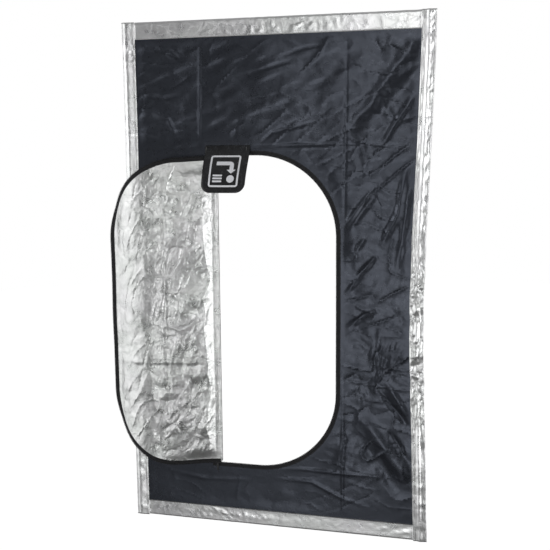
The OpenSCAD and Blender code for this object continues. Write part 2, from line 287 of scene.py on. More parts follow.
curve_r = np.arange(0, CURVE_END, CURVE_STEP)
kernel = np.hanning(2 * SOFTENED + 1)
lean = np.pad(np.radians(np.interp(curve_r, *LEAN)), SOFTENED, mode="edge")
lean = np.convolve(lean, kernel / kernel.sum(), mode="valid")
lean = lean + (FIRST_LEAN - lean[0]) * np.exp(-curve_r / 0.02)
curve_x = HINGE_X + FOLD_R * math.sin(FIRST_LEAN) - run_up(np.cos(lean), CURVE_STEP)
curve_y = AXIS_Y - FOLD_R * math.cos(FIRST_LEAN) - run_up(np.sin(lean), CURVE_STEP)


def droop(r):
    """How far the open door hangs down at r: a steady slope, and a step at each sag line."""
    steps = 6.5 * smooth(r, 0.04, 0.16) + 8 * smooth(r, 0.17, 0.28) + 3.4 * smooth(r, 0.3, 0.47)
    return MM * (19 * np.maximum(r, 0) + 0.5 * steps)


def door_relief(r, z):
    """How far the door's cloth stands out on its lining side."""
    h = 3.0 * MM * hills[4](r / 0.16, z / 0.24) + 1.6 * MM * hills[5](r / 0.07 + 5, z / 0.1)
    h = h + 1.2 * MM * crumple(r, z, 0.08, 7) + 0.4 * MM * crumple(r, z, 0.036, 8)
    h = h + 1.9 * MM * ridges(r, z, 2.2, 0.14, 0.05, 2) - 1.6 * MM * ridges(r, z, 1.9, 0.1, 0.04, 6)
    h = h + crease(r, z, [(0.205, SILL), (0.212, MID_Z), (0.205, HEAD)], 0.009, -0.0018)
    h = h + crease(r, z, [(0.0, -1.315), (0.25, -1.3), (0.47, -1.305)], 0.009, 0.0022)
    h = h * smooth(r, 0.0, 0.06)
    # the cloth rolls out of the fold up to a scalloped line, past the raised hem beside the hinge
    scallop = 0.048 + 0.012 * hills[7](z / 0.075, z * 0) + 0.008 * hills[1](z / 0.19, z * 0 + 5)
    rise = np.minimum(r - 0.018, scallop - 0.018)
    h = h + 0.42 * np.maximum(rise, 0) * (1 - smooth(r, scallop, 0.26))
    h = h + 1.5 * MM * (smooth(r, 0.0025, 0.005) - smooth(r, 0.018, 0.022))
    inner = -beyond_coil(HINGE_X + r, z)
    return h * (0.12 + 0.88 * smooth(inner, 0.018, 0.07))


def on_door(r, z, d):
    """A point of the flat door, r from the hinge, at depth d behind its black face.
    A negative r runs round the fold, back to the panel's edge."""
    turn = math.pi / 2 - FOLD_TURN * np.clip(1 + r / FOLD_LEN, 0, 1)
    fx, fy = HINGE_X + (FOLD_R + d) * np.cos(turn), AXIS_Y + (FOLD_R + d) * np.sin(turn)
    rr = np.clip(r, 0, curve_r[-1])
    a = np.interp(rr, curve_r, lean)
    lift = d + door_relief(rr, z)
    wave = 1.6 * MM * hills[8](z / 0.16 + 3, z * 0) * smooth(rr, 0.25, 0.47)
    wave = wave - 2.5 * MM * (smooth(z, -1.45, -0.8) - 0.5) * smooth(rr, 0.2, 0.47)
    x = np.interp(rr, curve_r, curve_x) + np.sin(a) * lift - wave
    y = np.interp(rr, curve_r, curve_y) - np.cos(a) * lift
    return np.stack([np.where(r < 0, fx, x), np.where(r < 0, fy, y), z - droop(r)], axis=-1)


# ---------------------------------------------------------------- mesh building


def add_mesh(name, points, faces, flat=None, shade=True):
    """flat holds each point's place in the cut cloth, in metres, which the materials read as the UV map."""
    mesh = bpy.data.meshes.new(name)
    mesh.from_pydata(np.asarray(points).tolist(), [], [tuple(int(i) for i in f) for f in faces])
    mesh.validate()
    if flat is not None:
        corner = np.zeros(len(mesh.loops), int)
        mesh.loops.foreach_get("vertex_index", corner)
        layer = mesh.uv_layers.new(name="cut")
        layer.data.foreach_set("uv", np.asarray(flat, np.float32)[corner].ravel())
    if shade:
        mesh.shade_smooth()
    mesh.update()
    obj = bpy.data.objects.new(name, mesh)
    bpy.context.scene.collection.objects.link(obj)
    return obj


def rim_of(faces):
    """The directed edges that only one face uses."""
    edges = {}
    for f in faces:
        for a, b in zip(f, list(f[1:]) + [f[0]]):
            edges[(a, b)] = 1
    return [e for e in edges if (e[1], e[0]) not in edges]


def facing(flat, rule, depth):
    """Unit normals of a placed layer, towards its face, from the rule itself."""
    h = 0.6 * MM
    u, v = flat[:, 0], flat[:, 1]
    du = rule(u + h, v, depth) - rule(u - h, v, depth)
    dv = rule(u, v + h, depth) - rule(u, v - h, depth)
    normal = np.cross(du, dv)
    return normal / np.maximum(np.linalg.norm(normal, axis=1), 1e-12)[:, None]


def slab(name, flat, faces, rule, d0, d1):
    """A closed sheet from a flat cut: its face at depth d0, its back at d1 and a rim between them.
    Pieces that meet edge to edge shade alike there, because the normals come from the rule."""
    flat = np.asarray(flat, float)
    n = len(flat)
    points = np.concatenate([rule(flat[:, 0], flat[:, 1], d0), rule(flat[:, 0], flat[:, 1], d1)])
    faces = [tuple(int(i) for i in f) for f in faces]
    back = [tuple(i + n for i in reversed(f)) for f in faces]
    rim = [(b, a, a + n, b + n) for a, b in rim_of(faces)]
    obj = add_mesh(name, points, faces + back + rim, np.concatenate([flat, flat]))
    normal = facing(flat, rule, d0)
    obj.data.normals_split_custom_set_from_vertices(np.concatenate([normal, -normal]).tolist())
    return obj


def spaced(a, b, step):
    """Points from a to b, without b."""
    n = max(1, round(math.dist(a, b) / step))
    return [(a[0] + (b[0] - a[0]) * i / n, a[1] + (b[1] - a[1]) * i / n) for i in range(n)]


def outline(corners, step):
    """Points at an even spacing round a closed shape."""
    return [p for a, b in zip(corners, corners[1:] + corners[:1]) for p in spaced(a, b, step)]


def track(offset, left, step):
    """Points along the zip, offset outwards, from the head's left end round to the sill's."""
    cx, r = FREE_X - DOOR_R, DOOR_R + offset
    turns = max(4, round(DOOR_R * math.pi / 2 / step))      # the same at every offset, so rows of points pair up
    points = spaced((left, HEAD + offset), (cx, HEAD + offset), step)
    for n in range(turns):
        a = math.pi / 2 * (1 - n / turns)
        points.append((cx + r * math.cos(a), HEAD - DOOR_R + r * math.sin(a)))
    points += spaced((cx + r, HEAD - DOOR_R), (cx + r, SILL + DOOR_R), step)
    for n in range(turns):
        a = -math.pi / 2 * n / turns
        points.append((cx + r * math.cos(a), SILL + DOOR_R + r * math.sin(a)))
    return points + spaced((cx, SILL - offset), (left, SILL - offset), step) + [(left, SILL - offset)]


def inside(points, loop):
    """Which points lie inside a closed loop."""
    x, z = points[:, 0], points[:, 1]
    found = np.zeros(len(points), bool)
    for (ax, az), (bx, bz) in zip(loop, loop[1:] + loop[:1]):
        found ^= ((az > z) != (bz > z)) & (x < (bx - ax) * (z - az) / (bz - az + 1e-18) + ax)
    return found


def cut(outer, holes, step):
    """Flat points and triangles that fill an outline, less its holes, at an even spacing."""

    def filled(at):
        wanted = inside(at, outer)
        for hole in holes:
            wanted &= ~inside(at, hole)
        return wanted

    loops = [outer, *holes]
    border = np.array([p for loop in loops for p in loop])
    lo, hi = border.min(0), border.max(0)
    row = step * math.sqrt(3) / 2
    grid = []
    for j, z in enumerate(np.arange(lo[1] + row, hi[1], row)):
        xs = np.arange(lo[0] + step * (0.5 if j % 2 else 1.0), hi[0], step)
        grid.append(np.stack([xs, np.full(len(xs), z)], axis=1))
    grid = np.concatenate(grid)
    grid = grid[filled(grid)]
    tree = KDTree(len(border))
    for i, p in enumerate(border):
        tree.insert((p[0], p[1], 0), i)
    tree.balance()
    grid = grid[[tree.find((p[0], p[1], 0))[2] > 0.55 * step for p in grid]]
    edges, start = [], 0
    for loop in loops:
        edges += [(start + i, start + (i + 1) % len(loop)) for i in range(len(loop))]
        start += len(loop)
    every = [Vector(p) for p in np.concatenate([border, grid]).tolist()]
    points, _, faces, *_ = delaunay_2d_cdt(every, edges, [], 0, 1e-7)
    points = np.array([tuple(p) for p in points])
    faces = np.array(faces)
    faces = faces[filled(points[faces].mean(1))]
    a, b, c = (points[faces[:, k]] for k in range(3))
    area = (b[:, 0] - a[:, 0]) * (c[:, 1] - a[:, 1]) - (b[:, 1] - a[:, 1]) * (c[:, 0] - a[:, 0])
    faces = np.where((area > 0)[:, None], faces, faces[:, ::-1])
    return points, faces[np.abs(area) > 1e-12]


def grid_faces(rows, columns, first=0, flip=False):
    """Four-sided faces over rows of points; first is the number of the first point."""
    faces = []
    for i in range(rows - 1):
        for j in range(columns - 1):
            a = first + i * columns + j
            f = (a, a + 1, a + columns + 1, a + columns)
            faces.append(f[::-1] if flip else f)
    return faces


class Bands:
    """Flat strips of tape side by side in one mesh."""

    def __init__(self):
        self.flat, self.faces = [], []

    def add(self, sides):
        """sides are rows of points, each as long as the others, from the inner edge to the outer."""
        first, rows, columns = len(self.flat), len(sides), len(sides[0])
        for side in sides:
            self.flat += [tuple(p) for p in side]
        a, b, c = (np.array(self.flat[first + k]) for k in (0, 1, columns))
        turned = (b[0] - a[0]) * (c[1] - a[1]) - (b[1] - a[1]) * (c[0] - a[0]) < 0
        self.faces += grid_faces(rows, columns, first, flip=turned)


def swept(points, side, deep, radius_side, radius_deep, wire, pitch, per_turn=10, around=5):
    """Points and faces of a helix of wire round a line, as a zip's coil.
    At each point of the line, side and deep are the unit directions across it."""
    points, side, deep = (np.asarray(a, float) for a in (points, side, deep))
    steps = np.linalg.norm(np.diff(points, axis=0), axis=1)
    length = np.concatenate([[0], np.cumsum(steps)])
    turns = max(1, int(length[-1] / pitch))
    s = np.linspace(0, length[-1], turns * per_turn + 1)

    def at(values):
        return np.stack([np.interp(s, length, values[:, k]) for k in range(3)], axis=1)

    phase = 2 * math.pi * np.arange(len(s)) / per_turn
    side_now, deep_now = at(side), at(deep)
    line = at(points) + side_now * (radius_side * np.cos(phase))[:, None]
    line = line + deep_now * (radius_deep * np.sin(phase))[:, None]
    ahead = np.gradient(line, axis=0)
    ahead /= np.linalg.norm(ahead, axis=1)[:, None]
    out = side_now * np.cos(phase)[:, None] + deep_now * np.sin(phase)[:, None]
    out -= ahead * (out * ahead).sum(1)[:, None]
    out /= np.linalg.norm(out, axis=1)[:, None]
    over = np.cross(ahead, out)
    angle = 2 * math.pi * np.arange(around) / around
    round_it = out[:, None] * np.cos(angle)[:, None] + over[:, None] * np.sin(angle)[:, None]
    rings = line[:, None] + wire * round_it
    faces = []
    for i in range(len(s) - 1):
        for j in range(around):
            a, b = i * around + j, i * around + (j + 1) % around
            faces.append((a, b, b + around, a + around))
    faces.append(tuple(range(around))[::-1])
    faces.append(tuple(range((len(s) - 1) * around, len(s) * around)))
    return rings.reshape(-1, 3), faces


def joined(parts):
    """Several (points, faces) as one."""
    points, faces, first = [], [], 0
    for p, f in parts:
        points.append(p)
        faces += [tuple(i + first for i in face) for face in f]
        first += len(p)
    return np.concatenate(points), faces


def stitches(lines, rule, depth, pitch=5.0 * MM, length=3.6 * MM, wide=0.45 * MM, high=0.35 * MM):
    """Thread stitches as small rounded beads along flat lines, standing out of the face at depth."""
    way = -1 if depth <= 0 else 1
    reach, swell = length * np.array([-0.5, -0.4, 0, 0.4, 0.5]), np.array([0.35, 0.9, 1, 0.9, 0.35])
    rows = np.array([(-1, 0.0), (-0.6, 0.8), (0.6, 0.8), (1, 0.0)])
    flat, up = [], []
    for line in lines:
        line = np.array(line, float)
        along = np.concatenate([[0], np.cumsum(np.linalg.norm(np.diff(line, axis=0), axis=1))])
        t = np.arange(pitch / 2, along[-1] - pitch / 2, pitch)[:, None] + reach
        x, z = np.interp(t, along, line[:, 0]), np.interp(t, along, line[:, 1])
        dx, dz = x[:, -1:] - x[:, :1], z[:, -1:] - z[:, :1]
        size = np.hypot(dx, dz)
        nx, nz = -dz / size * wide * swell, dx / size * wide * swell
        xs = x[:, None] + nx[:, None] * rows[None, :, :1]
        zs = z[:, None] + nz[:, None] * rows[None, :, :1]
        flat.append(np.stack([xs, zs], axis=-1).reshape(-1, 2))
        up.append(np.broadcast_to(high * rows[None, :, 1:] * swell, xs.shape).reshape(-1))
    flat, up = np.concatenate(flat), np.concatenate(up)
    points = rule(flat[:, 0], flat[:, 1], depth + way * (up - 0.05 * MM))
    one = grid_faces(4, 5, flip=way > 0)
    return points, [tuple(i + first for i in f) for first in range(0, len(flat), 20) for f in one]


# ---------------------------------------------------------------- materials


def add_node(tree, kind, inputs=(), **settings):
    """A node with its settings, and for each of its inputs a value or the output that feeds it."""
    n = tree.nodes.new(kind)
    for key, value in settings.items():
        setattr(n, key, value)
    for key, value in dict(inputs).items():
        if isinstance(value, bpy.types.NodeSocket):
            tree.links.new(value, n.inputs[key])
        else:
            n.inputs[key].default_value = value
    return n


class Paint:
    """A Principled material and short names for the nodes that feed it."""

    def __init__(self, name, **sockets):
        self.material = bpy.data.materials.new(name)
        self.material.use_nodes = True
        self.tree = self.material.node_tree
        self.shader = self.tree.nodes["Principled BSDF"]
        for key, value in sockets.items():
            self.shader.inputs[key.replace("_", " ")].default_value = value

    def node(self, kind, inputs=(), **settings):
        return add_node(self.tree, kind, inputs, **settings)

    def place(self, scale=(1, 1, 1), turn=0.0, cut_cloth=True):
        if cut_cloth:
            start = self.node("ShaderNodeUVMap", uv_map="cut").outputs[0]
        else:
            start = self.node("ShaderNodeTexCoord").outputs["Object"]
        return self.node("ShaderNodeMapping", {"Vector": start, "Scale": scale, "Rotation": (0, 0, turn)}).outputs[0]

    def noise(self, vector, scale, detail=3.0, rough=0.5, twist=0.0):
        inputs = {"Vector": vector, "Scale": scale, "Detail": detail, "Roughness": rough, "Distortion": twist}
        return self.node("ShaderNodeTexNoise", inputs).outputs["Fac"]

    def cells(self, vector, scale, feature="F1"):
        cells = self.node("ShaderNodeTexVoronoi", {"Vector": vector, "Scale": scale}, feature=feature)
        return cells.outputs["Distance"]

    def bands(self, vector, pitch, direction="X"):
        """Stripes that repeat every pitch."""
        inputs = {"Vector": vector, "Scale": 2 * math.pi / (20 * pitch)}
        return self.node("ShaderNodeTexWave", inputs, bands_direction=direction).outputs["Fac"]

    def weave(self, at, pitch_x, pitch_y):
        return self.times(self.bands(at, pitch_x, "X"), self.bands(at, pitch_y, "Y"))

    def maths(self, how, a, b=0.0):
        return self.node("ShaderNodeMath", {0: a, 1: b}, operation=how).outputs[0]

    def times(self, a, b):
        return self.maths("MULTIPLY", a, b)

    def mixed(self, a, share_a, b, share_b):
        return self.maths("ADD", self.times(a, share_a), self.times(b, share_b))

    def span(self, value, lo, hi, from_lo=0.0, from_hi=1.0):
        inputs = {"Value": value, "From Min": from_lo, "From Max": from_hi, "To Min": lo, "To Max": hi}
        return self.node("ShaderNodeMapRange", inputs).outputs[0]

    def ramp(self, value, stops):
        n = self.node("ShaderNodeValToRGB", {"Fac": value})
        while len(n.color_ramp.elements) < len(stops):
            n.color_ramp.elements.new(0.5)
        for e, (at, colour) in zip(n.color_ramp.elements, stops):
            e.position, e.color = at, (*colour, 1)
        return n.outputs[0]

    def blend(self, how, factor, a, b):
        n = self.node("ShaderNodeMix", data_type="RGBA", blend_type=how)
        for key, value in ((0, factor), (6, a), (7, b)):
            if isinstance(value, bpy.types.NodeSocket):
                self.tree.links.new(value, n.inputs[key])
            else:
                n.inputs[key].default_value = value if key == 0 else (*value, 1)
        return n.outputs[2]

    def bumps(self, layers):
        """layers are (height, distance in metres, strength), from coarse to fine."""
        normal = None
        for height, distance, strength in layers:
            n = self.node("ShaderNodeBump", {"Height": height, "Distance": distance, "Strength": strength})
            if normal is not None:
                self.tree.links.new(normal, n.inputs["Normal"])
            normal = n.outputs[0]
        self.wire("Normal", normal)

    def wire(self, socket, value):
        self.tree.links.new(value, self.shader.inputs[socket])


def black_cloth():
    """Coated black polyester: a fine plain weave under a thin sheen, with small hand creases."""
    p = Paint("black_cloth", Specular_IOR_Level=0.95, Sheen_Weight=0.02, Sheen_Roughness=0.45)
    p.shader.inputs["Sheen Tint"].default_value = (0.62, 0.7, 1.0, 1)
    p.shader.inputs["Specular Tint"].default_value = (0.77, 0.84, 1.0, 1)
    at = p.place()
    broad, fine = p.noise(at, 4.5, 4, 0.55), p.noise(at, 55, 5, 0.6)
    cloth = p.ramp(broad, [(0.3, (0.0035, 0.0038, 0.0048)), (0.7, (0.006, 0.0066, 0.0086))])
    thread = p.weave(at, 0.9 * MM, 0.9 * MM)
    cloth = p.blend("MULTIPLY", 0.35, cloth, p.ramp(thread, [(0.0, (0.6, 0.6, 0.62)), (1.0, (1.25, 1.25, 1.25))]))
    specks = p.span(p.cells(at, 240), 1, 0, 0.0, 0.09)
    dusty = p.times(specks, p.span(p.noise(at, 9, 2), 0, 0.35, 0.52, 0.7))
    p.wire("Base Color", p.blend("MIX", dusty, cloth, (0.05, 0.052, 0.056)))
    p.wire("Roughness", p.span(p.mixed(fine, 0.6, broad, 0.4), 0.25, 0.33, 0.3, 0.7))
    folds = p.noise(p.place((26, 34, 1), 0.35), 1.0, 4, 0.55, 0.9)
    nicks = p.cells(p.place((30, 22, 1), -0.5), 1.0, "DISTANCE_TO_EDGE")
    p.bumps([
        (folds, 0.6 * MM, 0.7),
        (p.span(nicks, 0, 1, 0, 0.07), 0.2 * MM, 0.2),
        (fine, 0.08 * MM, 0.25),
        (thread, 0.02 * MM, 0.3),
    ])
    return p.material


def silver_film(name, crinkle, dark, light, rough):
    """Aluminised film on a thin fabric: creased facets, tiny embossed weave, and dull rubbed folds."""
    p = Paint(name, Metallic=0.96, Specular_IOR_Level=0.5, Coat_Weight=0.06, Coat_Roughness=0.25)
    at = p.place()
    patch = p.noise(p.place((15, 21, 1), 0.6), 1.0, 3, 0.5, 0.8)
    tone = p.ramp(patch, [(0.32, dark), (0.66, light)])
    tint = p.ramp(p.noise(at, 5, 3, 0.5, 0.4), [(0.38, (0.985, 1.0, 0.98)), (0.62, (1.0, 0.992, 1.0))])
    p.wire("Base Color", p.blend("MULTIPLY", 0.8, tone, tint))
    rubbed = p.cells(p.place((20, 26, 1), 0.9), 1.0, "DISTANCE_TO_EDGE")
    dull = p.maths("ADD", p.times(patch, 0.7), p.span(rubbed, 0.4, 0, 0, 0.05))
    p.wire("Roughness", p.span(dull, rough, rough + 0.16, 0.2, 0.95))
    wavy = p.noise(p.place((24, 19, 1), 0.35), 1.0, 3, 0.5, 1.2)
    facets = p.cells(p.place((38, 26, 1), 0.5), 1.0, "F1")
    fine = p.cells(p.place((85, 70, 1), -0.3), 1.0, "DISTANCE_TO_EDGE")
    p.bumps([
        (wavy, 3.0 * MM * crinkle, 0.7),
        (facets, 1.6 * MM * crinkle, 0.6),
        (p.span(rubbed, 1, 0, 0.0, 0.07), 0.4 * MM, 0.35 * crinkle),
        (p.span(fine, 1, 0, 0, 0.12), 0.3 * MM, 0.5 * crinkle),
        (p.weave(at, 1.4 * MM, 1.4 * MM), 0.05 * MM, 0.2),
    ])
    return p.material


def zip_tape():
    """Woven polyester tape: a herringbone across the width and a slight sheen all over."""
    p = Paint("zip_tape", Specular_IOR_Level=0.4, Sheen_Weight=0.06, Sheen_Roughness=0.5)
    at = p.place()
    left, right = p.bands(p.place(turn=0.7), 1.3 * MM), p.bands(p.place(turn=-0.7), 1.3 * MM)
    rows = p.times(left, right)
    worn = p.noise(at, 60, 4, 0.6)
    tone = p.mixed(rows, 0.5, worn, 0.5)
    p.wire("Base Color", p.ramp(tone, [(0.2, (0.003, 0.003, 0.0035)), (0.8, (0.010, 0.010, 0.011))]))
    p.wire("Roughness", p.span(worn, 0.62, 0.85, 0.3, 0.7))
    p.bumps([(worn, 0.4 * MM, 0.4), (rows, 0.22 * MM, 0.7)])
    return p.material


def moulded(name, base, worn, rough, grain, cut_cloth=False, metallic=0.0, depth=0.12 * MM, sparkle=0.0):
    """Rubber, plastic or painted metal: fine grain, handling marks, and a little colour change."""
    p = Paint(name, Metallic=metallic, Specular_IOR_Level=0.5)
    at = p.place(cut_cloth=cut_cloth)
    marks, fine = p.noise(at, grain * 0.08, 4, 0.6, 0.4), p.noise(at, grain, 3, 0.5)
    scratch = p.cells(p.place((grain * 0.25, grain * 0.05, grain * 0.25), 0.4, cut_cloth), 1.0, "DISTANCE_TO_EDGE")
    scratched = p.times(p.span(scratch, 1, 0, 0.0, 0.03), p.span(marks, 0, 1, 0.5, 0.7))
    colour = p.ramp(marks, [(0.35, base), (0.7, tuple(0.72 * c + 0.28 * w for c, w in zip(base, worn)))])
    p.wire("Base Color", p.blend("MIX", p.times(scratched, 0.5 + sparkle), colour, worn))
    p.wire("Roughness", p.span(p.maths("ADD", marks, scratched), rough - 0.08, rough + 0.12, 0.3, 1.0))
    p.bumps([(marks, depth, 0.4), (fine, depth * 0.5, 0.5), (scratched, depth * 0.5, 0.4)])
    return p.material


def pile(name, base, hooks):
    """Hook tape in ordered rows of stiff hooks, or loop tape with a tangled nap."""
    p = Paint(name, Specular_IOR_Level=0.35, Sheen_Weight=0.0 if hooks else 0.5, Sheen_Roughness=0.4)
    at = p.place()
    nap = p.weave(at, 1.6 * MM, 1.9 * MM) if hooks else p.noise(at, 520, 6, 0.75, 2.5)
    p.wire("Base Color", p.ramp(nap, [(0.3, tuple(0.35 * c for c in base)), (0.8, base)]))
    p.wire("Roughness", p.span(p.noise(at, 40), 0.7, 0.95, 0.3, 0.7))
    p.bumps([(nap, 0.9 * MM, 1.0)])
    return p.material


paint = {
    "black_cloth": black_cloth(),
    "silver_film": silver_film("silver_film", 0.3, (0.8, 0.805, 0.8), (0.93, 0.93, 0.92), 0.26),
    "silver_lining": silver_film("silver_lining", 1.0, (0.6, 0.61, 0.595), (0.83, 0.83, 0.82), 0.26),
    "zip_tape": zip_tape(),
    "zip_coil": moulded("zip_coil", (0.012, 0.012, 0.013), (0.05, 0.05, 0.052), 0.34, 900),
    "zip_stop": moulded("zip_stop", (0.014, 0.014, 0.015), (0.07, 0.07, 0.07), 0.3, 700),
    "slider_metal": moulded(
        "slider_metal", (0.02, 0.02, 0.021), (0.4, 0.39, 0.37), 0.3, 800, metallic=0.6, sparkle=0.3
    ),
    "pull_rubber": moulded("pull_rubber", (0.013, 0.013, 0.014), (0.06, 0.06, 0.062), 0.5, 900),
    "hook_tape": pile("hook_tape", (0.022, 0.022, 0.024), True),
    "loop_tape": pile("loop_tape", (0.026, 0.026, 0.028), False),
    "garage_rubber": moulded(
        "garage_rubber", (0.007, 0.0073, 0.008), (0.05, 0.052, 0.056), 0.26, 620, cut_cloth=True, depth=0.25 * MM
    ),
    "garage_print": moulded(
        "garage_print", (0.82, 0.83, 0.86), (0.9, 0.9, 0.9), 0.42, 500, cut_cloth=True, depth=0.2 * MM
    ),
    "rail_steel": moulded("rail_steel", (0.68, 0.68, 0.67), (0.4, 0.4, 0.4), 0.34, 300, metallic=0.25),
    "pale_thread": moulded("pale_thread", (0.5, 0.5, 0.5), (0.7, 0.7, 0.69), 0.6, 900),
    "black_thread": moulded("black_thread", (0.03, 0.03, 0.033), (0.08, 0.08, 0.085), 0.6, 900),
}


def dress(obj, slot, body=None, nodes=(), look=None):
    """Gives a piece its material, from its look or else the record's slot name, attaches it to its body when one is
    given, and hides the CAD nodes it stands for.
    """
    obj.data.materials.append(paint[look or slot])
    if body:
        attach(obj, body)
    if nodes:
        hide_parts(*nodes)


for node, obj in frame["nodes"].items():
    name = next(s["material_slot"] for s in frame["record"]["subparts"] if s["node"] == node)
    for slot in obj.material_slots:
        slot.material = paint[name]

# ---------------------------------------------------------------- black sheet, lining and opening zip

PANEL_STEP = 6.6 * MM
hole = track(CLOTH_GAP, TRACK_X, 5 * MM)
fold_side = [(TRACK_X, SILL - CLOTH_GAP), (TRACK_X, SILL + CLOTH_GAP), (HINGE_X, SILL + CLOTH_GAP),
             (HINGE_X, HEAD - CLOTH_GAP), (TRACK_X, HEAD - CLOTH_GAP), (TRACK_X, HEAD + CLOTH_GAP)]
hole += [p for a, b in zip(fold_side, fold_side[1:]) for p in spaced(a, b, 6 * MM)][1:]
edge = outline([(-CLOTH_X, CLOTH_LO), (CLOTH_X, CLOTH_LO), (CLOTH_X, CLOTH_HI), (-CLOTH_X, CLOTH_HI)], PANEL_STEP)
panel_flat, panel_faces = cut(edge, [hole], PANEL_STEP)
black_sheet = slab("black_sheet", panel_flat, panel_faces, on_panel, 0, SHEET_T)
dress(black_sheet, "black_cloth", "panel", ["outer_sheet"])
silver_back = slab("silver_back_lining", panel_flat, panel_faces, on_panel, SHEET_T, CLOTH_T)
dress(silver_back, "silver_film", "panel", ["lining_sheet"], look="silver_lining")


def across(o0, o1, count):
    """Evenly spaced offsets from o0 to o1."""
    return [o0 + (o1 - o0) * n / (count - 1) for n in range(count)]


def fixed_tape(inner, outer, count):
    """Flat cut of the opening's tape or binding: the D, and the two short ends past the fold."""
    bands, stop = Bands(), HINGE_X - 2 * MM
    offsets = across(inner, outer, count)
    bands.add([track(o, TRACK_X, 4 * MM) for o in offsets])
    for z, way in ((HEAD, -1), (SILL, 1)):
        heights = [z + way * o for o in offsets]
        bands.add([spaced((TRACK_X, h), (stop, h), 4 * MM) + [(stop, h)] for h in heights])
        bands.add([[(x, z + o) for o in (-outer, -inner, inner, outer)] for x in (TRACK_X - 4 * MM, TRACK_X)])
    return bands


tape = fixed_tape(TAPE_IN, TAPE_W, 5)
opening_tape = slab("opening_zip_tape_woven", tape.flat, tape.faces, on_panel, -TAPE_T, -0.02 * MM)
dress(opening_tape, "zip_tape", "panel", ["opening_zip_tape"])
tape = fixed_tape(BINDING_IN, TAPE_W, 4)
opening_back = slab("opening_binding_woven", tape.flat, tape.faces, on_panel, CLOTH_T + 0.02 * MM, CLOTH_T + BINDING_T)
dress(opening_back, "zip_tape", "panel", ["opening_binding"])

WIRE = 0.34 * MM
COIL_MID = (COIL_IN + COIL_OUT) / 2
COIL_REACH = (COIL_OUT - COIL_IN) / 2 - WIRE
COIL_DEEP = COIL_T / 2 - WIRE
COIL_PITCH = 2.5 * MM


def coil_along(flat_line, rule, way):
    """A coil whose centre is COIL_MID beside the coil line, on the side that way names."""
    line = np.array(flat_line)
    depth = COIL_T / 2
    points = rule(line[:, 0], line[:, 1], depth)
    ahead = np.gradient(line, axis=0)
    ahead /= np.linalg.norm(ahead, axis=1)[:, None]
    beside = np.stack([-ahead[:, 1], ahead[:, 0]], axis=1) * way
    tiny = 0.5 * MM
    side = rule(line[:, 0] + beside[:, 0] * tiny, line[:, 1] + beside[:, 1] * tiny, depth) - points
    deep = rule(line[:, 0], line[:, 1], depth + tiny) - points
    side /= np.linalg.norm(side, axis=1)[:, None]
    deep /= np.linalg.norm(deep, axis=1)[:, None]
    return swept(points, side, deep, COIL_REACH, COIL_DEEP, WIRE, COIL_PITCH)


parts = [coil_along(track(COIL_MID, TRACK_X + 5 * MM, 3 * MM), on_panel, 1)]
for z, way in ((HEAD, -1), (SILL, 1)):
    stub = spaced((TRACK_X + 5 * MM, z + way * COIL_MID), (HINGE_X - 7 * MM, z + way * COIL_MID), 3 * MM)
    parts.append(coil_along(stub, on_panel, 1))
opening_coil = add_mesh("opening_coil_wound", *joined(parts))
dress(opening_coil, "zip_coil", "panel", ["opening_coil"])

seams = [track(offset, TRACK_X + 2 * MM, 4 * MM) for offset in SEAMS]
opening_thread = add_mesh("opening_zip_stitching", *stitches(seams, on_panel, -TAPE_T))
dress(opening_thread, "zip_tape", "panel", look="black_thread")

# ---------------------------------------------------------------- the folded door, in four pieces

# Each piece: where it starts and ends, two body names, and where a bend would start and end; the loop below neither
# attaches a piece to these bodies nor bends it
DOOR = [
    (1, -FOLD_LEN, 0.035, "panel", "door_hinge_side", None),
    (2, 0.035, 0.165, "door_hinge_side", "door_inner", (0.04, 0.16)),
    (3, 0.165, 0.29, "door_inner", "door_middle", (0.172, 0.278)),
    (4, 0.29, DOOR_W, "door_middle", "door_free_side", (0.302, 0.385)),
]
DOOR_STEP = 4.6 * MM


def door_height(r, inset):
    """Lower and upper end of the door at r, inset from the coil line."""
    over = r - (DOOR_W - DOOR_R)
    if over <= 0:
        return SILL + inset, HEAD - inset
    rise = math.sqrt(max((DOOR_R - inset) ** 2 - over**2, 0))
    return SILL + DOOR_R - rise, HEAD - DOOR_R + rise


def door_outline(r0, r1, inset, step):
    """Flat outline of the door's cloth between r0 and r1."""
    lo0, hi0 = door_height(r0, inset)
    end = min(r1, DOOR_W - inset)
    points = spaced((r0, hi0), (r0, lo0), step)
    full = [(x - HINGE_X, z) for x, z in track(-inset, HINGE_X + min(r0, 0), step)]
    low = [p for p in full if p[1] < MID_Z and r0 + 0.3 * step < p[0] < end - 0.3 * step]
    high = [p for p in full if p[1] >= MID_Z and r0 + 0.3 * step < p[0] < end - 0.3 * step]
    lo1, hi1 = door_height(end, inset)
    points += [(r0, lo0)] + low[::-1]
    points += spaced((end, lo1), (end, hi1), step) + [(end, hi1)]
    return points + high[::-1]


def even_track(offset, step=3.4 * MM):
    """The coil line inside the door as a fixed number of points, the same at every offset."""
    cx, r, height = FREE_X - DOOR_R - HINGE_X, DOOR_R - offset, HEAD - SILL - 2 * DOOR_R
    straight, turns, tall = (round(part / step) for part in (cx, DOOR_R * math.pi / 2, height))
    angles = [math.pi / 2 * n / turns for n in range(turns)]
    points = [(cx * n / straight, HEAD - offset) for n in range(straight)]
    points += [(cx + r * math.sin(a), HEAD - DOOR_R + r * math.cos(a)) for a in angles]
    points += [(cx + r, HEAD - DOOR_R - height * n / tall) for n in range(tall)]
    points += [(cx + r * math.cos(a), SILL + DOOR_R - r * math.sin(a)) for a in angles]
    points += [(cx * (1 - n / straight), SILL + offset) for n in range(straight + 1)]
    return np.array(points)


